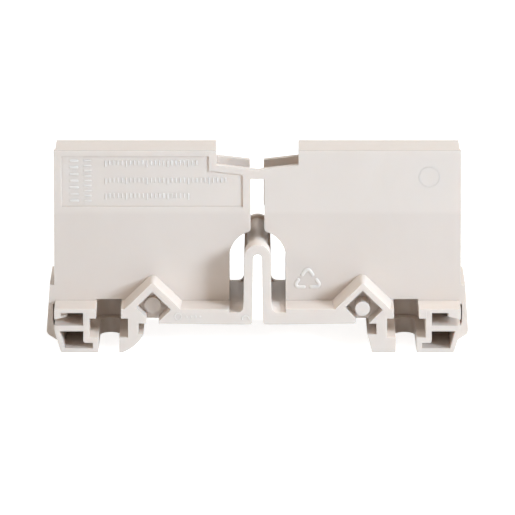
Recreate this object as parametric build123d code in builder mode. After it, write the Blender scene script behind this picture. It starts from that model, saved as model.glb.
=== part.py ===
from build123d import *
import os

# Mounting carrier for push-in wire connectors, moulded in one piece.
# X runs along the carrier, Y from the front to the back, Z upwards.
# The two halves stand on their feet at Z = 0 and bend apart at a spring in the middle.
# Every size is in millimetres.

# Overall
depth = 16.5
half_length = 30.0
top_height = 29.7
wall = 0.9

# Front plate and the box behind it
plate_setback = 4.5
plate_flare = 0.18
rim_depth = 5.95
rim_inset = 0.2
gap_half = 1.02
step_x = 6.05
low_height_outer = 27.5
low_height_inner = 26.9
link_height = 1.55
notch_depth = 0.18
notch_x = 0.2
stop_offset = 0.11
shelf_z = 19.9
rib_pitch = 5.8
rib_thickness = 0.8

# Bars along the bottom
bar_bottom = 4.3
bar_height = 2.36
bar_taper = 0.19
bar_corner_radius = 0.45

# Arched cut-out and the spring in it
slot_x = 4.18
arch_top = 17.48
arch_corner_radius = 0.6
slot_floor_drop = 0.5
slot_fillet = 0.9
crown_clearance = 0.88
crown_inner_half = 0.62
foot_inner_half = 0.8
spring_thickness = 0.88
lip_thickness = 1.3
lip_crown_extra = 0.16
front_lip_depth = 2.75
rear_lip_depth = 0.9

# Diamond cavities, with a thin roof over each
cavity_x = 15.5
cavity_depth = 2.8
cavity_top_left = 9.37
cavity_top_right = 9.55
cavity_sides_left = (3.5, 3.88)
cavity_sides_right = (3.73, 4.24)
neck_half = 0.9
neck_lip_radius = 0.4
roof_root = 1.15
roof_apex_radius = 0.4
roof_root_radius = 1.1
roof_front_left = 1.0
roof_front_right = 0.84

# Pin and shorter stub in the cavities
peg_z = 6.72
pin_diameter = 2.17
pin_recess = 0.1
stub_diameter = 2.37
stub_recess = 1.9

# Feet and jaws
mouth_x = 17.6
jaw_top = 2.8
jaw_tip_left = 16.85
jaw_base_left = 20.0
jaw_bulge = 0.42
jaw_tip_right = 16.2
jaw_base_right = 16.95
foot_slant_height = 3.3
foot_slant = 0.9
foot_edge_radius = 0.3

# Screw slots
screw_x = 22.0
shank_width = 3.06
head_width = 5.74
driver_width = 3.7
head_floor = 2.3
head_height = 2.95
window_rise = 0.2

# Pockets in the outer part of each foot
pocket_inner_x = 25.75
pocket_floor = 0.62
pocket_ceiling = 3.27
pocket_depth = 12.0
pocket_side_wall = 0.75
pocket_toe_x = 24.35
pocket_toe_height = 0.85
pocket_fillet = 0.35
slit_rib = 0.88
slit_ceiling = 6.1
slit_step_x = 28.2
slit_step_drop = 0.55
slit_mouth_height = 0.95
slit_relief_width = 0.86
slit_relief_depth = 0.8

# End lip outside each foot, with a groove between them, and the low rail at the back
end_lip_back = 14.0
end_lip_top = 9.05
end_lip_reach_top = 0.85
end_lip_reach = 1.4
end_lip_knee = 1.5
groove_width = 0.4
groove_depth = 2.5
groove_drop = 0.6
seat_rail_height = 1.2

# Recessed label field on the left plate
field_depth = 0.22
field_left = 28.87
field_right = 2.15
field_margin = 0.86
field_slope_margin = 1.0
field_bottom = 21.1
field_step_x = 7.15
field_corner_radius = 0.5

bar_top = bar_bottom + bar_height
slot_floor = bar_top - slot_floor_drop
arch_z = arch_top - slot_x
arch_z_at_gap = arch_z + (slot_x**2 - gap_half**2) ** 0.5
wall_z_at_gap = arch_z + ((slot_x + wall) ** 2 - gap_half**2) ** 0.5
crown_z = arch_top - crown_clearance - crown_inner_half - lip_thickness
shank_x = screw_x - shank_width / 2
box_back = plate_setback + rim_depth
clear = 1.0


def front_plane(setback):
    """Upright plane that lies setback behind the front face; its y is Z."""
    return Plane.XZ.offset(depth / 2 - setback)


def low_top(x):
    """Height of the sloping top edge between the gap and the step."""
    slope = (low_height_outer - low_height_inner) / (step_x - gap_half)
    return low_height_inner + slope * (x - gap_half)


def arch_edge(radius, z_start, z_gap):
    """Right half of an arch round the middle, from z_start up to z_gap beside the gap."""
    Line((radius, z_start), (radius, arch_z))
    RadiusArc((radius, arch_z), (gap_half, z_gap), -radius)


def bar_underside(x):
    """Height of the bar's underside, which rises a little from the spring to the jaw."""
    return bar_bottom + bar_taper * (x - slot_x) / (mouth_x - slot_x)


with BuildPart() as half:
    # Plate, with the arch cut out of it
    with BuildSketch(front_plane(plate_setback)):
        with BuildLine():
            arch_edge(slot_x, bar_top, arch_z_at_gap)
            plate = [(gap_half, arch_z_at_gap), (gap_half, low_height_inner)]
            plate += [(step_x, low_height_outer), (step_x, top_height), (half_length, top_height)]
            Polyline(*plate, (half_length + plate_flare, bar_top), (slot_x, bar_top))
        make_face()
        at_gap = vertices().filter_by_position(Axis.X, gap_half - 0.01, gap_half + 0.01)
        fillet(at_gap.sort_by(Axis.Y)[0], arch_corner_radius)
    extrude(amount=-wall)

    # Box behind the plate's top: rim, shelf, partition at the step, end wall and ribs
    with BuildSketch(front_plane(plate_setback)):
        box_end = half_length - rim_inset
        with Locations((step_x, top_height)):
            Rectangle(box_end - step_x, wall, align=(Align.MIN, Align.MAX))
        with Locations((gap_half + stop_offset, shelf_z)):
            Rectangle(box_end - gap_half - stop_offset, wall, align=Align.MIN)
        with Locations((step_x, shelf_z), (box_end - wall, shelf_z)):
            Rectangle(wall, top_height - wall / 2 - shelf_z, align=Align.MIN)
        with Locations([(box_end - i * rib_pitch, shelf_z) for i in (1, 2, 3)]):
            Rectangle(rib_thickness, top_height - wall / 2 - shelf_z, align=Align.MIN)
    extrude(amount=-rim_depth)

    # Back wall of its lower part, which is open at the top
    with BuildSketch(front_plane(box_back - wall)):
        back_x = gap_half + stop_offset
        low_back = [(back_x, shelf_z), (step_x + wall, shelf_z), (step_x + wall, low_height_outer)]
        Polygon(*low_back, (step_x, low_height_outer), (back_x, low_top(back_x)), align=None)
    extrude(amount=-wall)

    # Wall round the arch, over the whole depth behind the plate
    with BuildSketch(front_plane(plate_setback)):
        with BuildLine():
            arch_edge(slot_x, bar_bottom, arch_z_at_gap)
            Line((gap_half, arch_z_at_gap), (gap_half, wall_z_at_gap))
            arch_edge(slot_x + wall, bar_bottom, wall_z_at_gap)
            Line((slot_x + wall, bar_bottom), (slot_x, bar_bottom))
        make_face()
        fillet(vertices().sort_by(Axis.X)[:2].sort_by(Axis.Y)[0], arch_corner_radius)
    extrude(amount=-(depth - plate_setback))

    # Bar and foot, over the whole depth, without the jaw
    with BuildSketch(front_plane(0)):
        foot = [(slot_x, bar_bottom), (mouth_x, bar_underside(mouth_x)), (mouth_x, jaw_top)]
        foot += [(shank_x, jaw_top), (shank_x, 0)]
        foot += [(half_length - foot_slant, 0), (half_length, foot_slant_height)]
        foot += [(half_length, bar_top), (slot_x, bar_top)]
        Polygon(*foot, align=None)
        fillet(vertices().group_by(Axis.Y)[0].sort_by(Axis.X)[-1], foot_edge_radius)
    extrude(amount=-depth)

    # Low rail at the back of the seat
    with BuildSketch(front_plane(depth - wall)):
        with Locations((slot_x, bar_top)):
            Rectangle(half_length - slot_x, seat_rail_height, align=Align.MIN)
    extrude(amount=-wall)

    # Lower pocket, with its toe under the head chamber
    with BuildSketch(front_plane(0)):
        slant = foot_slant / foot_slant_height
        side_top = half_length - pocket_side_wall - slant * (foot_slant_height - pocket_ceiling)
        side_floor = half_length - pocket_side_wall - slant * (foot_slant_height - pocket_floor)
        toe_top = pocket_floor + pocket_toe_height
        pocket = [(pocket_toe_x, pocket_floor), (side_floor, pocket_floor)]
        pocket += [(side_top, pocket_ceiling), (pocket_inner_x, pocket_ceiling)]
        pocket += [(pocket_inner_x, toe_top), (pocket_toe_x, toe_top)]
        Polygon(*pocket, align=None)
        inner = vertices().filter_by_position(Axis.X, pocket_inner_x - 0.01, pocket_inner_x + 0.01)
        fillet(inner.sort_by(Axis.Y)[0], pocket_fillet)
    extrude(amount=-pocket_depth, mode=Mode.SUBTRACT)

    # Slit above it, open to the outer side
    with BuildSketch(front_plane(0)):
        rib_top = pocket_ceiling + slit_rib
        slit = [(pocket_inner_x, rib_top), (half_length + clear, rib_top)]
        slit += [(half_length + clear, rib_top + slit_mouth_height)]
        slit += [(half_length, rib_top + slit_mouth_height)]
        slit += [(slit_step_x, slit_ceiling - slit_step_drop), (slit_step_x, slit_ceiling)]
        slit += [(pocket_inner_x, slit_ceiling)]
        Polygon(*slit, align=None)
    extrude(amount=-plate_setback, mode=Mode.SUBTRACT)
    with BuildSketch(front_plane(0)):
        with Locations((pocket_inner_x, rib_top)):
            Rectangle(slit_step_x - pocket_inner_x, slit_ceiling - rib_top, align=Align.MIN)
    extrude(amount=-pocket_depth, mode=Mode.SUBTRACT)

    # End lip, which leans outwards on its way down, with a groove between it and the foot
    with BuildSketch(front_plane(plate_setback)):
        lip = [(half_length, end_lip_top), (half_length + end_lip_reach_top, end_lip_top)]
        lip += [(half_length + end_lip_reach, end_lip_knee), (half_length - foot_slant, 0)]
        Polygon(*lip, (half_length, foot_slant_height), align=None)
        fillet(vertices().sort_by(Axis.X)[-1], wall)
    extrude(amount=-(end_lip_back - plate_setback))
    with BuildSketch(front_plane(plate_setback)):
        groove_top = bar_top - groove_drop
        groove = [(half_length, groove_top), (half_length, foot_slant_height)]
        groove += [(half_length - foot_slant, 0), (half_length - foot_slant + groove_width, 0)]
        groove += [(half_length + groove_width, foot_slant_height)]
        Polygon(*groove, (half_length + groove_width, groove_top), align=None)
    extrude(amount=-groove_depth, mode=Mode.SUBTRACT)


def hoop(setback, thickness, crown_extra):
    """Sketch of the spring, joined to both bars; its crown is crown_extra thicker below."""
    with BuildSketch(front_plane(setback)) as outline:
        outer = crown_inner_half + thickness
        foot = foot_inner_half + thickness
        inner_z = crown_z - crown_extra
        with BuildLine():
            Line((foot, slot_floor), (outer, crown_z))
            RadiusArc((outer, crown_z), (-outer, crown_z), -outer)
            Polyline((-outer, crown_z), (-foot, slot_floor), (-slot_x, slot_floor),
                     (-slot_x, bar_bottom), (-foot_inner_half, bar_bottom),
                     (-crown_inner_half, inner_z))
            RadiusArc((-crown_inner_half, inner_z), (crown_inner_half, inner_z), crown_inner_half)
            Polyline((crown_inner_half, inner_z), (foot_inner_half, bar_bottom),
                     (slot_x, bar_bottom), (slot_x, slot_floor), (foot, slot_floor))
        make_face()
        leg_feet = vertices().filter_by_position(Axis.Y, slot_floor - 0.01, slot_floor + 0.01)
        fillet(leg_feet.sort_by(Axis.X)[1:3], slot_fillet)
        toes = vertices().filter_by_position(Axis.Y, bar_bottom - 0.01, bar_bottom + 0.01)
        fillet(toes.sort_by(Axis.X)[1:3], bar_corner_radius)
    return outline.sketch


with BuildPart() as carrier:
    add(half.part)
    add(mirror(half.part, about=Plane.YZ))

    # Spring between the halves, with a thicker lip round its front and its back
    extrude(hoop(0, spring_thickness, 0), amount=-depth)
    extrude(hoop(0, lip_thickness, lip_crown_extra), amount=-front_lip_depth)
    extrude(hoop(depth - rear_lip_depth, lip_thickness, lip_crown_extra), amount=-rear_lip_depth)

    # Link across the top of the gap, with its notch
    with BuildSketch(front_plane(plate_setback)):
        link_bottom = low_height_inner - link_height
        link = [(-gap_half, link_bottom), (gap_half, link_bottom), (gap_half, low_height_inner)]
        link += [(notch_x, low_height_inner - notch_depth), (-gap_half, low_height_inner)]
        Polygon(*link, align=None)
    extrude(amount=-wall)

    # Stop on the right of the gap, which the left half meets when the halves bend together
    with BuildSketch(front_plane(box_back - wall)):
        stop = [(gap_half - stop_offset, shelf_z), (back_x, shelf_z), (back_x, low_top(back_x))]
        Polygon(*stop, (gap_half - stop_offset, low_height_inner), align=None)
    extrude(amount=-wall)

    # Jaws under the bars: the left one is rounded, the right one straight
    with BuildSketch(front_plane(0)):
        with BuildLine():
            bulge = SagittaArc((-jaw_base_left, 0), (-jaw_tip_left, jaw_top), -jaw_bulge)
            Polyline(bulge @ 1, (-shank_x, jaw_top), (-shank_x, 0), bulge @ 0)
        make_face()
        jaw = [(jaw_tip_right, jaw_top), (jaw_base_right, 0), (shank_x, 0), (shank_x, jaw_top)]
        Polygon(*jaw, align=None)
    extrude(amount=-depth)

    # Diamond cavities with their pegs: a pin on the right, a low stub on the left
    left = (-cavity_x, cavity_top_left, cavity_sides_left, roof_front_left)
    right = (cavity_x, cavity_top_right, cavity_sides_right, roof_front_right)
    for peg, cavity in (((stub_diameter, stub_recess), left), ((pin_diameter, pin_recess), right)):
        x, cavity_top, sides, roof_front = cavity
        diameter, recess = peg
        # The roof is sharper and thinner at the front than at the plate
        base_z = bar_top - wall / 2
        front_section = (0, roof_front, roof_apex_radius)
        root_section = (plate_setback + wall / 2, roof_root, roof_root_radius)
        for setback, roof, apex_radius in (front_section, root_section):
            apex_z = cavity_top + roof * 2**0.5
            span = apex_z - base_z
            with BuildSketch(front_plane(setback)):
                Polygon((x - span, base_z), (x + span, base_z), (x, apex_z), align=None)
                fillet(vertices().sort_by(Axis.Y)[-1], apex_radius)
        loft(ruled=True)
        with BuildSketch(front_plane(0)):
            with Locations((x, cavity_top)):
                Rectangle(*sides, rotation=45, align=(Align.MAX, Align.MAX))
            with Locations((x, peg_z)):
                Rectangle(2 * neck_half, peg_z - bar_bottom + clear, align=(Align.CENTER, Align.MAX))
            fillet(vertices().sort_by(Axis.Y)[2:4], neck_lip_radius)
        extrude(amount=-cavity_depth, mode=Mode.SUBTRACT)
        with BuildSketch(front_plane(recess)):
            with Locations((x, peg_z)):
                Circle(diameter / 2)
        extrude(amount=-(cavity_depth - recess))

    # The right cavity's lips are rounded below as well
    lips = edges().filter_by(Axis.Y)
    lips = lips.filter_by_position(Axis.X, cavity_x - neck_half - 0.01, cavity_x + neck_half + 0.01)
    fillet(lips.filter_by_position(Axis.Z, bar_bottom, bar_bottom + bar_taper), neck_lip_radius)

    # Screw slots: a shank slot, the head chamber over it and a driver slot in its roof
    head_top = head_floor + head_height
    tiers = ((shank_width, 0, head_floor), (head_width, head_floor, head_top))
    tiers += ((driver_width, head_top, bar_top + window_rise),)
    for width, tier_floor, tier_top in tiers:
        with BuildSketch(Plane.XY.offset(tier_floor)):
            with Locations((-screw_x, 0), (screw_x, 0)):
                Circle(width / 2)
                Rectangle(width, depth / 2 + clear, align=(Align.CENTER, Align.MAX))
        extrude(amount=tier_top - tier_floor, mode=Mode.SUBTRACT)

    # Shallow relief beside the step of the left slit
    with BuildSketch(front_plane(0)):
        with Locations((-slit_step_x, slit_ceiling)):
            Rectangle(slit_relief_width, slit_step_drop, align=Align.MAX)
    extrude(amount=-slit_relief_depth, mode=Mode.SUBTRACT)

    # Label field on the left plate
    with BuildSketch(front_plane(plate_setback)):
        field = [(-field_left, field_bottom), (-field_right, field_bottom)]
        field += [(-field_right, low_top(field_right) - field_slope_margin)]
        field += [(-field_step_x, low_top(field_step_x) - field_slope_margin)]
        field += [(-field_step_x, top_height - field_margin), (-field_left, top_height - field_margin)]
        Polygon(*field, align=None)
        fillet(vertices().sort_by(Axis.X)[-2:].sort_by(Axis.Y)[-1], field_corner_radius)
    extrude(amount=-field_depth, mode=Mode.SUBTRACT)

carrier.part.label = "carrier"
os.makedirs("parts", exist_ok=True)
export_step(carrier.part, "parts/carrier.step")
box = carrier.part.bounding_box()
print("carrier", len(carrier.part.solids()), "solid,", round(carrier.part.volume, 1), "mm3")
print("box", [round(v, 3) for v in (*box.min, *box.max)])
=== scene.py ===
# %% [markdown]
# A moulded mounting carrier
#
# The object is one piece of pale, matt polyamide. Two mirrored halves stand on stepped feet. A
# thin link joins them at the top and a bent spring joins them in the middle, so that the halves
# can give a little when the carrier snaps into place. Connectors sit in the open bays at the
# back.
#
# The lesson goes in four steps: the camera and the studio, the moulded skin, the small marks
# that a mould leaves, and the plastic itself.

# %% Load the frame
import math
import bpy
import bmesh
import numpy as np
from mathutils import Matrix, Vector
from mathutils.bvhtree import BVHTree


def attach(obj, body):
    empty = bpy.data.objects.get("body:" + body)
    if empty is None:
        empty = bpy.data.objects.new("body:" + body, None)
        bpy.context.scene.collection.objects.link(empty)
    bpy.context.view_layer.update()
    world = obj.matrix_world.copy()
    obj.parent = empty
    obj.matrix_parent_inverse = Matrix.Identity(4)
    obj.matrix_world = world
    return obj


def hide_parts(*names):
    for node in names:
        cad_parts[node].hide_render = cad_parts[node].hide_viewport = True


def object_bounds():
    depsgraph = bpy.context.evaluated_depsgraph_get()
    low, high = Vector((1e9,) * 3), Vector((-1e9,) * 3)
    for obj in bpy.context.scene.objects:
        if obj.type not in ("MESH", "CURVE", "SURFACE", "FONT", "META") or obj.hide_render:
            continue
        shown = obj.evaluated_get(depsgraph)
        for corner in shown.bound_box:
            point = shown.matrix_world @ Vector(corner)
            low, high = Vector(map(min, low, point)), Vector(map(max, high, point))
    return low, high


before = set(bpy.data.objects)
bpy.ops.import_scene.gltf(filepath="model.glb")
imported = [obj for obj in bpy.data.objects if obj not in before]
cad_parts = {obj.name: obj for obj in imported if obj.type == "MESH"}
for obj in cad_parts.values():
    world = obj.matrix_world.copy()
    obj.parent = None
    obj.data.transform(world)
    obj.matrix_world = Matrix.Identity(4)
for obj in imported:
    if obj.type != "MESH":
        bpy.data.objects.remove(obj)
cad_low, cad_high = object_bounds()
MM = 0.001
front_y, top_z = cad_low[1], cad_high[2]
print("size in mm:", [round((b - a) / MM, 2) for a, b in zip(cad_low, cad_high)])

# %% [markdown]
# The camera stands in front of the carrier, a little above it and looking down, with a long
# lens. A long lens far away keeps the two halves almost the same size, and the small pitch shows
# the top faces and the floors of the openings. Its place is given as a distance and a pitch,
# because those two numbers say what the picture looks like.

# %% Camera
PITCH = math.radians(17.0)
DISTANCE = 0.6477
LENS_MM = 308.0
SENSOR_MM = 36.0
AIM_HEIGHT = 0.01468


def level_camera(name, aim, distance, pitch, lens):
    """Camera at distance from aim, raised by pitch, looking along (0, cos pitch, -sin pitch)."""
    camera = bpy.data.objects.new(name, bpy.data.cameras.new(name))
    camera.data.lens = lens
    camera.data.sensor_width = SENSOR_MM
    camera.data.clip_start = 0.05
    camera.data.clip_end = 20.0
    forward = Vector((0.0, math.cos(pitch), -math.sin(pitch)))
    camera.location = aim - forward * distance
    camera.rotation_euler = (math.pi / 2 - pitch, 0.0, 0.0)
    bpy.context.scene.collection.objects.link(camera)
    return camera


aim = Vector((0.0, front_y, AIM_HEIGHT))
camera = level_camera("camera", aim, DISTANCE, PITCH, LENS_MM)
bpy.context.scene.camera = camera
bpy.context.scene.view_settings.view_transform = "Standard"
print("camera in mm:", [round(v / MM, 1) for v in camera.location])

# %% [markdown]
# Four soft lamps light the carrier. The key lamp stands to the right, in front and above, as the
# short shadows to the left of the raised walls tell. The fill lamp opens those shadows from the
# left, the top lamp lights the upper faces, and a weak back lamp comes from behind. The key is a
# little cooler than the rest, so the slopes that face it look whiter than the plates.

# %% Lamps
COOL = (0.86, 1.01, 1.17)
WARM = (1.03, 0.98, 0.92)
# Name, place and size in metres, watts and colour.
LAMPS = [
    ("key_lamp", (0.76, -0.53, 0.39), 0.25, 8.6, COOL),
    ("fill_lamp", (-0.80, -0.45, 0.41), 0.50, 2.6, WARM),
    ("top_lamp", (0.50, 0.05, 0.90), 0.40, 4.3, WARM),
    ("back_lamp", (0.15, 1.00, 0.14), 0.70, 0.9, WARM),
]
middle = ((cad_low[0] + cad_high[0]) / 2, 0.0, (cad_low[2] + cad_high[2]) / 2)


def soft_lamp(name, place, size, watts, color):
    """Square area lamp at place that faces the middle of the carrier."""
    lamp = bpy.data.objects.new(name, bpy.data.lights.new(name, "AREA"))
    lamp.data.shape = "SQUARE"
    lamp.data.size = size
    lamp.data.energy = watts
    lamp.data.color = color
    lamp.location = place
    facing = Vector(middle) - Vector(place)
    lamp.rotation_euler = facing.to_track_quat("-Z", "Y").to_euler()
    bpy.context.scene.collection.objects.link(lamp)
    return lamp


print("lamps:", [soft_lamp(*values).name for values in LAMPS])

# %% [markdown]
# The studio is a dim even world and a pale floor. The camera sees both as white, so the
# background is white without more light falling on the plastic. Shiny and clear surfaces would
# see the same white, so gloss and transmission rays count as the camera's.

# %% World and floor
SKY_STRENGTH = 0.12
WHITE = (1.0, 1.0, 1.0)
FLOOR_SIZE = 6.0
FLOOR_TONE = 0.80
FLOOR_GLOW = 0.80


def math_node(tree, operation, *values):
    """Output of a new math node; each value is a number or another node's output."""
    node = tree.nodes.new("ShaderNodeMath")
    node.operation = operation
    for socket, value in zip(node.inputs, values):
        if isinstance(value, float):
            socket.default_value = value
        else:
            tree.links.new(value, socket)
    return node.outputs[0]


def seen_as_white(tree, plain, white):
    """Shader that is white for camera, gloss and transmission rays and plain for the rest."""
    path = tree.nodes.new("ShaderNodeLightPath").outputs
    either = math_node(tree, "MAXIMUM", path["Is Camera Ray"], path["Is Glossy Ray"])
    any_of = math_node(tree, "MAXIMUM", either, path["Is Transmission Ray"])
    mix = tree.nodes.new("ShaderNodeMixShader")
    for socket, value in zip(mix.inputs, (any_of, plain, white)):
        tree.links.new(value, socket)
    return mix.outputs[0]


def background(tree, color, strength):
    """Output of a background shader of one colour."""
    node = tree.nodes.new("ShaderNodeBackground")
    node.inputs["Color"].default_value = (*color, 1.0)
    node.inputs["Strength"].default_value = strength
    return node.outputs[0]


world = bpy.data.worlds.new("studio")
bpy.context.scene.world = world
world.use_nodes = True
sky = world.node_tree
sky.nodes.clear()
dim, bright = background(sky, WARM, SKY_STRENGTH), background(sky, WHITE, 1.0)
sky_out = sky.nodes.new("ShaderNodeOutputWorld")
sky.links.new(seen_as_white(sky, dim, bright), sky_out.inputs["Surface"])

floor_mesh = bpy.data.meshes.new("floor")
half = FLOOR_SIZE / 2
corners = [(-half, -half, 0), (half, -half, 0), (half, half, 0), (-half, half, 0)]
floor_mesh.from_pydata(corners, [], [(0, 1, 2, 3)])
floor = bpy.data.objects.new("floor", floor_mesh)
bpy.context.scene.collection.objects.link(floor)

floor_paint = bpy.data.materials.new("pale_floor")
floor_paint.use_nodes = True
paint = floor_paint.node_tree
paint.nodes.clear()
matt = paint.nodes.new("ShaderNodeBsdfDiffuse")
matt.inputs["Color"].default_value = (FLOOR_TONE, FLOOR_TONE, FLOOR_TONE, 1.0)
glow = paint.nodes.new("ShaderNodeEmission")
glow.inputs["Strength"].default_value = FLOOR_GLOW
lit = paint.nodes.new("ShaderNodeAddShader")
paint.links.new(matt.outputs[0], lit.inputs[0])
paint.links.new(glow.outputs[0], lit.inputs[1])
floor_out = paint.nodes.new("ShaderNodeOutputMaterial")
floor_shader = seen_as_white(paint, matt.outputs[0], lit.outputs[0])
paint.links.new(floor_shader, floor_out.inputs["Surface"])
floor.data.materials.append(floor_paint)
print("floor in m:", FLOOR_SIZE, "world strength:", SKY_STRENGTH)

# %% [markdown]
# The CAD body has the right walls and openings, but its edges are knife-sharp and a moulded edge
# never is. The skin is a copy of the body with its loose triangles merged into whole faces and
# every edge rounded by a bevel of about a tenth of a millimetre. That small round is what
# catches the light along each rim. A bevel suits this better than a subdivision surface, which
# would swell the thin walls.

# %% Moulded skin
EDGE_ROUND = 0.11 * MM
EDGE_ANGLE = math.radians(28.0)
MERGE_WITHIN = 0.002 * MM


def moulded_skin(node_name, piece_name):
    """Copy of a CAD node: its loose triangles merged and every edge rounded."""
    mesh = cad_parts[node_name].data.copy()
    mesh.materials.clear()
    work = bmesh.new()
    work.from_mesh(mesh)
    bmesh.ops.remove_doubles(work, verts=work.verts, dist=MERGE_WITHIN)
    work.to_mesh(mesh)
    work.free()
    for name in ("custom_normal", "sharp_edge"):
        if name in mesh.attributes:
            mesh.attributes.remove(mesh.attributes[name])
    piece = bpy.data.objects.new(piece_name, mesh)
    bpy.context.scene.collection.objects.link(piece)
    rounding = piece.modifiers.new("edge rounding", "BEVEL")
    rounding.width = EDGE_ROUND
    rounding.segments = 2
    rounding.limit_method = "ANGLE"
    rounding.angle_limit = EDGE_ANGLE
    rounding.harden_normals = True
    mesh.shade_smooth()
    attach(piece, "root")
    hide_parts(node_name)
    return piece


skin = moulded_skin("carrier", "carrier_skin")
print("skin faces:", len(skin.data.polygons))

# %% [markdown]
# A mould leaves small marks on what it makes. Each is made here as a low ridge that follows a
# path across the wall. Across the path u runs from -1 to 1, and the ridge stands h * (1 - u**4)
# proud of the wall, so its top is flat and its sides are round. Near an open end, at a distance
# t from it that is less than the half width r, both the width and the height shrink by
# sqrt(1 - ((r - t) / r)**2), which rounds the end off. The wall is found by looking at the body
# from the front, so every ridge lies on it.

# %% Ridges on the wall
ACROSS = np.linspace(-1.0, 1.0, 9)
SINK = 0.01
POINT_STEP = 0.15
CAP_POINTS = 6
# The least value under the root, so that the last row of a ridge keeps a sliver of width.
END_SQUARE = 0.0004

body_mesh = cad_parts["carrier"].data
body_faces = [face.vertices for face in body_mesh.polygons]
body_tree = BVHTree.FromPolygons([v.co for v in body_mesh.vertices], body_faces)


def wall(x, z):
    """The y, in mm, of the wall seen from the front at x and z."""
    start = Vector((x * MM, front_y - 0.01, z * MM))
    return body_tree.ray_cast(start, Vector((0.0, 1.0, 0.0)))[0].y / MM


def resample(path, radius):
    """Points along an open path and how far each is from the nearer end.

    Within radius of an end the points lie at radius * (1 - cos a) from it, with a from 0 to 90
    degrees, and between the ends they lie about POINT_STEP apart.
    """
    steps = np.linalg.norm(np.diff(path, axis=0), axis=1)
    along = np.concatenate([[0.0], np.cumsum(steps)])
    cap = radius * (1.0 - np.cos(np.linspace(0.0, math.pi / 2, CAP_POINTS)))
    run = np.linspace(radius, along[-1] - radius, max(2, int(along[-1] / POINT_STEP)))
    where = np.concatenate([cap, run[1:-1], along[-1] - cap[::-1]])
    points = np.stack([np.interp(where, along, path[:, k]) for k in (0, 1)], axis=1)
    return points, np.minimum(where, along[-1] - where)


def ridge(path, width, height, closed=False):
    """Vertices and faces of a ridge along path, an array of x and z in mm.

    The point at arc s and across u is path(s) + u * width / 2 * normal(s), at
    y = wall - height * (1 - u**4), and the rim lies SINK inside the wall.
    """
    path = np.asarray(path, float)
    round_off = np.ones(len(path))
    if not closed:
        path, left = resample(path, width / 2)
        inside = np.clip((width / 2 - left) / (width / 2), 0.0, 1.0)
        round_off = np.sqrt(np.clip(1.0 - inside**2, END_SQUARE, 1.0))
    ahead = np.roll(path, -1, axis=0) - np.roll(path, 1, axis=0)
    if not closed:
        ahead[0], ahead[-1] = path[1] - path[0], path[-1] - path[-2]
    ahead /= np.linalg.norm(ahead, axis=1)[:, None]
    normal = np.stack([-ahead[:, 1], ahead[:, 0]], axis=1)
    reach = ACROSS[None, :, None] * (round_off * width / 2)[:, None, None]
    flat = path[:, None, :] + normal[:, None, :] * reach
    rise = height * round_off[:, None] * (1.0 - ACROSS**4)[None, :] - SINK
    deep = np.array([wall(x, z) for x, z in path])[:, None] - rise
    verts = np.stack([flat[..., 0], deep, flat[..., 1]], axis=-1).reshape(-1, 3) * MM
    rows, across = len(path), len(ACROSS)
    here = np.arange(rows if closed else rows - 1)[:, None] * across + np.arange(across - 1)
    there = (here + across) % (rows * across)
    faces = np.stack([here, there, there + 1, here + 1], axis=-1).reshape(-1, 4)
    return verts, faces


def mark_piece(name, ridges):
    """One piece made of several ridges, whose faces each count from their own first vertex."""
    starts = np.cumsum([0] + [len(verts) for verts, _ in ridges[:-1]])
    all_verts = np.concatenate([verts for verts, _ in ridges])
    all_faces = np.concatenate([faces + start for (_, faces), start in zip(ridges, starts)])
    mesh = bpy.data.meshes.new(name)
    mesh.from_pydata(all_verts.tolist(), [], all_faces.tolist())
    mesh.shade_smooth()
    piece = bpy.data.objects.new(name, mesh)
    bpy.context.scene.collection.objects.link(piece)
    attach(piece, "root")
    return piece


PLATE_Y = wall(10.0, 15.0)
print("plate front at y in mm:", round(PLATE_Y, 2))

# %% [markdown]
# The largest raised sign is a plain sorting triangle on the right plate. It is three strokes,
# each bent round one corner, rather than a closed loop, so the gaps between them stay open. An
# ejector pin has printed a faint ring near the top of the same plate.

# %% Sorting triangle and ejector ring
TRIANGLE = [(5.28, 8.74), (7.40, 11.74), (9.52, 8.74)]
TRIANGLE_BEND = 0.42
BEND_POINTS = 9
# How far a stroke runs from its corner, as a share of the side.
STROKE_SHARE = 0.44
PIN_AT, PIN_RADIUS = (25.33, 25.70), 1.52
# Width and height of each kind of line, in mm.
TRIANGLE_LINE = (0.56, 0.12)
PIN_LINE = (0.22, 0.03)


def arc(x, z, radius, start, end, count):
    """Points at (x + r cos a, z + r sin a), a from start to end in degrees from the right."""
    turn = np.radians(np.linspace(start, end, count))
    return np.stack([x + radius * np.cos(turn), z + radius * np.sin(turn)], axis=1)


def circle(x, z, radius, count=48):
    """Points once round a circle, for a closed ridge."""
    return arc(x, z, radius, 0.0, 360.0, count + 1)[:-1]


def sorting_triangle(corners, radius):
    """Three strokes that each turn round one corner and stop near the middle of its sides.

    Where a is half the angle at a corner and b the unit vector that halves it, the bend is an
    arc about corner + b * radius / sin(a), and meets the sides at radius / tan(a) from there.
    """
    strokes = []
    for k in range(3):
        before, here, after = (np.array(corners[(k + d) % 3]) for d in (-1, 0, 1))
        come = (before - here) / np.linalg.norm(before - here)
        leave = (after - here) / np.linalg.norm(after - here)
        half_turn = math.acos(float(np.dot(come, leave))) / 2
        halving = (come + leave) / np.linalg.norm(come + leave)
        centre = here + halving * radius / math.sin(half_turn)
        first, last = (here + side * radius / math.tan(half_turn) for side in (come, leave))
        share = np.linspace(0.0, 1.0, BEND_POINTS)[:, None]
        bend = first * (1 - share) + last * share - centre
        bend = centre + bend / np.linalg.norm(bend, axis=1)[:, None] * radius
        start, end = (here * (1 - STROKE_SHARE) + far * STROKE_SHARE for far in (before, after))
        strokes.append(np.concatenate([[start], bend, [end]]))
    return strokes


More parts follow.
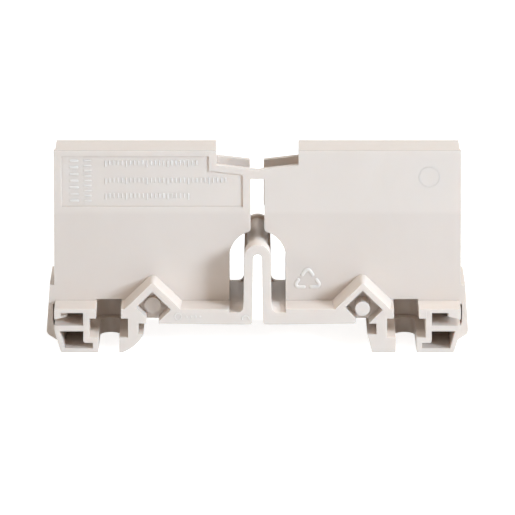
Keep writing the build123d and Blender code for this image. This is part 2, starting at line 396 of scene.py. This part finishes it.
strokes = sorting_triangle(TRIANGLE, TRIANGLE_BEND)
triangle = mark_piece("sorting_triangle", [ridge(stroke, *TRIANGLE_LINE) for stroke in strokes])
pin_ring = ridge(circle(*PIN_AT, PIN_RADIUS), *PIN_LINE, closed=True)
ejector = mark_piece("ejector_ring", [pin_ring])
print("marks:", triangle.name, ejector.name)

# %% [markdown]
# The bars at the front carry smaller marks: on the left one an arc beside the gap and a ring
# with dots, and on each bar one short line where two inserts of the mould meet. They are made
# of the same ridges, because a bump in the material would not show in the mesh.

# %% Marks on the bars
ARC_AT, ARC_RADIUS, ARC_ENDS, ARC_POINTS = (-1.78, 5.16), 0.52, (-15.0, 195.0), 17
RING_AT, RING_RADIUS, RING_POINTS = (-11.74, 5.55), 0.50, 32
DOTS_X, DOTS_Z, DOT_TALL = np.arange(-10.45, -7.9, 0.66), 5.36, 0.38
MOULD_LINES_X, MOULD_LINES_Z, MOULD_LINE_TALL = (-25.45, 24.95), 5.20, 1.15
# Width and height of each kind of line, in mm.
ARC_LINE = (0.20, 0.08)
RING_LINE = (0.20, 0.06)
DOT = (0.34, 0.06)
MOULD_LINE = (0.12, 0.03)


def tick(x, z, tall):
    """An upright stroke from z to z + tall."""
    return np.array([(x, z), (x, z + tall)])


bar_ridges = [ridge(arc(*ARC_AT, ARC_RADIUS, *ARC_ENDS, ARC_POINTS), *ARC_LINE)]
bar_ridges.append(ridge(circle(*RING_AT, RING_RADIUS, RING_POINTS), *RING_LINE, closed=True))
bar_ridges += [ridge(tick(x, DOTS_Z, DOT_TALL), *DOT) for x in DOTS_X]
bar_ridges += [ridge(tick(x, MOULD_LINES_Z, MOULD_LINE_TALL), *MOULD_LINE) for x in MOULD_LINES_X]
bar_marks = mark_piece("bar_marks", bar_ridges)
print("ridges on the bars:", len(bar_ridges))

# %% [markdown]
# The label field holds a gauge: three scales of ticks, every fifth one longer, and two ladders
# of short rungs at its left end. The ridges are less than a tenth of a millimetre high, so only
# the sides that face the key lamp catch its light.

# %% Label gauge
GAUGE_HEIGHT = 0.08
RUNG_HEIGHT = GAUGE_HEIGHT * 1.2
TICK_PITCH, TICK_TALL, TICK_WIDTH = 0.61, 0.78, 0.27
LONG_EVERY, LONG_EXTRA = 5, 0.26
# Left end, right end and foot of each scale, in mm.
SCALES = [(-22.4, -8.9, 27.40), (-22.4, -4.4, 24.75), (-22.4, -10.0, 22.40)]
# Left end, right end, lowest rung, number of rungs, pitch and width of each ladder.
LADDERS = [(-27.75, -26.35, 22.0, 7, 1.02, 0.42), (-25.65, -24.45, 22.0, 9, 0.765, 0.30)]


def scale_row(x_from, x_to, z):
    """Ticks standing at z, with every fifth one reaching further down."""
    for k in range(int((x_to - x_from) / TICK_PITCH) + 1):
        extra = LONG_EXTRA if k % LONG_EVERY == 0 else 0.0
        stroke = tick(x_from + k * TICK_PITCH, z - extra, TICK_TALL + extra)
        yield ridge(stroke, TICK_WIDTH, GAUGE_HEIGHT)


def ladder(x_from, x_to, z_from, rungs, pitch, width):
    """Rungs stacked upward from z_from."""
    for k in range(rungs):
        z = z_from + k * pitch
        yield ridge(np.array([(x_from, z), (x_to, z)]), width, RUNG_HEIGHT)


gauge = [line for scale in SCALES for line in scale_row(*scale)]
gauge += [line for steps in LADDERS for line in ladder(*steps)]
label_gauge = mark_piece("label_gauge", gauge)
print("gauge ridges:", len(gauge), "faces:", len(label_gauge.data.polygons))

# %% [markdown]
# Polyamide is never quite even. Its colour drifts slowly where the melt flowed. More than one
# finish shares that effect and the two that follow, so each is a node group with its own inputs.
# The drift is slow noise on Object coordinates, squeezed in height so that it runs in streaks.

# %% Melt flow
COLOR, FLOAT = "NodeSocketColor", "NodeSocketFloat"


def set_inputs(node, values):
    """Give the node's named inputs their values."""
    for label, value in values.items():
        node.inputs[label].default_value = value
    return node


def new_group(name, inputs, outputs):
    """Shader node group, the sockets that come into it and the sockets that it fills."""
    group = bpy.data.node_groups.new(name, "ShaderNodeTree")
    for label, kind in inputs:
        group.interface.new_socket(label, in_out="INPUT", socket_type=kind)
    for label, kind in outputs:
        group.interface.new_socket(label, in_out="OUTPUT", socket_type=kind)
    given = group.nodes.new("NodeGroupInput").outputs
    return group, given, group.nodes.new("NodeGroupOutput").inputs


def mix_colors(tree, factor, first, second):
    """Colour that goes from first at a factor of 0 to second at 1."""
    mix = tree.nodes.new("ShaderNodeMix")
    mix.data_type = "RGBA"
    tree.links.new(factor, mix.inputs["Factor"])
    tree.links.new(first, mix.inputs["A"])
    tree.links.new(second, mix.inputs["B"])
    return mix.outputs["Result"]


def melt_flow_group():
    """Colour that drifts from base to streak with slow noise, stretched along the flow."""
    group, given, result = new_group(
        "melt flow",
        [("Base", COLOR), ("Streak", COLOR), ("Scale", FLOAT), ("Amount", FLOAT)],
        [("Color", COLOR)])
    nodes, links = group.nodes, group.links
    place = nodes.new("ShaderNodeTexCoord")
    stretch = set_inputs(nodes.new("ShaderNodeMapping"), {"Scale": (1.0, 1.0, 0.45)})
    noise = set_inputs(nodes.new("ShaderNodeTexNoise"), {"Detail": 4.0, "Distortion": 1.2})
    soften = set_inputs(nodes.new("ShaderNodeMapRange"), {"From Min": 0.35, "From Max": 0.70})
    links.new(place.outputs["Object"], stretch.inputs["Vector"])
    links.new(stretch.outputs["Vector"], noise.inputs["Vector"])
    links.new(given["Scale"], noise.inputs["Scale"])
    links.new(noise.outputs["Fac"], soften.inputs["Value"])
    amount = math_node(group, "MULTIPLY", soften.outputs["Result"], given["Amount"])
    links.new(mix_colors(group, amount, given["Base"], given["Streak"]), result["Color"])
    return group


melt_flow = melt_flow_group()
print("melt flow nodes:", len(melt_flow.nodes))

# %% [markdown]
# The wall of the mould is spark-eroded, which leaves a fine grain on the plastic and breaks up
# its gloss. The grain is a fine noise over one that is five times coarser, and the coarse one
# also makes the roughness vary.

# %% Mould grain
COARSE_SCALE = 0.2
COARSE_SHARE = 0.5


def mould_grain_group():
    """Height fine + COARSE_SHARE * coarse, and roughness + (coarse - 0.5) * spread."""
    group, given, result = new_group(
        "mould grain",
        [("Scale", FLOAT), ("Roughness", FLOAT), ("Spread", FLOAT)],
        [("Height", FLOAT), ("Roughness", FLOAT)])
    nodes, links = group.nodes, group.links
    place = nodes.new("ShaderNodeTexCoord")
    fine = set_inputs(nodes.new("ShaderNodeTexNoise"), {"Detail": 2.0})
    coarse = set_inputs(nodes.new("ShaderNodeTexNoise"), {"Detail": 3.0})
    for noise in (fine, coarse):
        links.new(place.outputs["Object"], noise.inputs["Vector"])
    links.new(given["Scale"], fine.inputs["Scale"])
    coarse_scale = math_node(group, "MULTIPLY", given["Scale"], COARSE_SCALE)
    links.new(coarse_scale, coarse.inputs["Scale"])
    slow = coarse.outputs["Fac"]
    height = math_node(group, "MULTIPLY_ADD", slow, COARSE_SHARE, fine.outputs["Fac"])
    centred = math_node(group, "SUBTRACT", slow, 0.5)
    rough = math_node(group, "MULTIPLY_ADD", centred, given["Spread"], given["Roughness"])
    links.new(height, result["Height"])
    links.new(rough, result["Roughness"])
    return group


mould_grain = mould_grain_group()
print("mould grain nodes:", len(mould_grain.nodes))

# %% [markdown]
# Inner corners of a moulding look a little darker and warmer, because less light reaches them
# and what does has bounced about in them. That shade is painted into the colour here, where
# ambient occlusion finds the corners. The same group paints the shade of a fine seam behind the
# top edge, where two parts of the mould meet, and paints a touch of shade on the lower part of
# the plate, where one insert ends. Both are plain functions of the place on the object, so they
# look the same from every side.

# %% Painted crease shade
AO_SAMPLES = 8
# The plate's front plane and the depth of the band on it, in half widths of the seam.
PLATE_OFF = 1.3
PLATE_REACH = 1.2
# How dark the painted shade on the lower part of the plate gets.
PAINTED_BAND_SHADE = 0.20


def painted_shade_group():
    """Colour with painted shade: it darkens towards Shade in inner corners, along a seam and
    below a band.

    The corner part is 1 - occlusion within Reach. The seam part is the smooth bump
    max(0, 1 - ((y - y0) / w)**2) around the plane y = y0, kept to the faces above the height
    Seam Above. The band part falls from PAINTED_BAND_SHADE at the height Band Bottom to 0 at Band
    Top, and is kept to the plate's front, where (y - y0) / w is near -PLATE_OFF.
    """
    group, given, result = new_group(
        "painted crease shade",
        [("Color", COLOR), ("Shade", COLOR), ("Reach", FLOAT), ("Amount", FLOAT),
         ("Seam Y", FLOAT), ("Seam Half Width", FLOAT), ("Seam Above", FLOAT),
         ("Band Bottom", FLOAT), ("Band Top", FLOAT)],
        [("Color", COLOR)])
    nodes, links = group.nodes, group.links

    def calc(operation, *values):
        return math_node(group, operation, *values)

    # Painted shade in inner corners: 1 - occlusion within Reach.
    occlusion = nodes.new("ShaderNodeAmbientOcclusion")
    occlusion.samples = AO_SAMPLES
    links.new(given["Reach"], occlusion.inputs["Distance"])
    corner = calc("SUBTRACT", 1.0, occlusion.outputs["AO"])

    place = nodes.new("ShaderNodeTexCoord")
    split = nodes.new("ShaderNodeSeparateXYZ")
    links.new(place.outputs["Object"], split.inputs[0])
    off = calc("SUBTRACT", split.outputs["Y"], given["Seam Y"])
    off = calc("DIVIDE", off, given["Seam Half Width"])
    # Painted shade of the seam behind the top edge: a smooth bump around y = y0, kept above Seam
    # Above.
    hump = calc("MAXIMUM", calc("SUBTRACT", 1.0, calc("MULTIPLY", off, off)), 0.0)
    above = calc("GREATER_THAN", split.outputs["Z"], given["Seam Above"])
    seam = calc("MULTIPLY", hump, above)

    # Painted shade on the lower part of the plate, below where one insert ends.
    lower = set_inputs(nodes.new("ShaderNodeMapRange"), {"To Min": 1.0, "To Max": 0.0})
    links.new(split.outputs["Z"], lower.inputs["Value"])
    links.new(given["Band Bottom"], lower.inputs["From Min"])
    links.new(given["Band Top"], lower.inputs["From Max"])
    near = calc("ABSOLUTE", calc("ADD", off, PLATE_OFF))
    on_plate = calc("LESS_THAN", near, PLATE_REACH)
    band = calc("MULTIPLY", calc("MULTIPLY", lower.outputs["Result"], on_plate), PAINTED_BAND_SHADE)

    darkest = calc("MAXIMUM", calc("MAXIMUM", corner, seam), band)
    factor = calc("MULTIPLY", darkest, given["Amount"])
    links.new(mix_colors(group, factor, given["Color"], given["Shade"]), result["Color"])
    return group


painted_crease_shade = painted_shade_group()
print("painted crease shade nodes:", len(painted_crease_shade.nodes))

# %% [markdown]
# The plastic is one Principled BSDF. A little subsurface scattering lets the thin walls glow
# softly where light comes through them, which a plain diffuse colour can't do. There are two
# finishes. The body has the mould's grain and painted shade in its corners. The raised marks are
# smoother, because the mould is polished where they are cut into it, and their lighter colour is
# painted light for the light that their faces catch.

# %% Polyamide
# Colour of the painted shade in corners, along the seam and low on the plate.
PAINTED_CORNER_SHADE = (0.42, 0.34, 0.29)
PLASTIC = {"IOR": 1.53, "Subsurface Weight": 0.35, "Subsurface Scale": 1.0 * MM,
           "Subsurface Radius": (1.0, 0.8, 0.65)}
FLOW = {"Scale": 85.0, "Amount": 0.6}
GRAIN = {"Scale": 5200.0, "Spread": 0.25}
GRAIN_STRENGTH = 0.35
PAINTED_SHADE = {"Shade": (*PAINTED_CORNER_SHADE, 1.0), "Reach": 0.24 * MM,
          "Seam Y": (PLATE_Y + 0.28) * MM, "Seam Half Width": 0.22 * MM,
          "Seam Above": top_z - 0.1 * MM, "Band Bottom": 19.9 * MM, "Band Top": 20.5 * MM}


def polyamide(name, base, streak, painted_shade_amount, roughness, grain_depth):
    """Matt polyamide in a base colour that drifts towards streak, with painted shade in its
    corners.
    """
    material = bpy.data.materials.new(name)
    material.use_nodes = True
    nodes, links = material.node_tree.nodes, material.node_tree.links
    surface = set_inputs(nodes["Principled BSDF"], PLASTIC)

    def effect(group, values):
        node = nodes.new("ShaderNodeGroup")
        node.node_tree = group
        return set_inputs(node, values)

    flow = effect(melt_flow, {"Base": (*base, 1.0), "Streak": (*streak, 1.0), **FLOW})
    grain = effect(mould_grain, {"Roughness": roughness, **GRAIN})
    crease = effect(painted_crease_shade, {"Amount": painted_shade_amount, **PAINTED_SHADE})
    bump = set_inputs(nodes.new("ShaderNodeBump"),
                      {"Strength": GRAIN_STRENGTH, "Distance": grain_depth})
    links.new(flow.outputs["Color"], crease.inputs["Color"])
    links.new(crease.outputs["Color"], surface.inputs["Base Color"])
    links.new(grain.outputs["Roughness"], surface.inputs["Roughness"])
    links.new(grain.outputs["Height"], bump.inputs["Height"])
    links.new(bump.outputs["Normal"], surface.inputs["Normal"])
    return material


pale = polyamide("pale_polyamide", (0.795, 0.709, 0.640), (0.762, 0.672, 0.60),
                 painted_shade_amount=0.46, roughness=0.48, grain_depth=0.012 * MM)
# The raised marks' lighter colour is painted light.
raised = polyamide("raised_polyamide_painted_light", (0.90, 0.82, 0.75), (0.86, 0.77, 0.70),
                   painted_shade_amount=0.05, roughness=0.40, grain_depth=0.006 * MM)
for piece in (skin, ejector):
    piece.data.materials.append(pale)
for piece in (triangle, bar_marks, label_gauge):
    piece.data.materials.append(raised)
print("materials:", pale.name, raised.name)
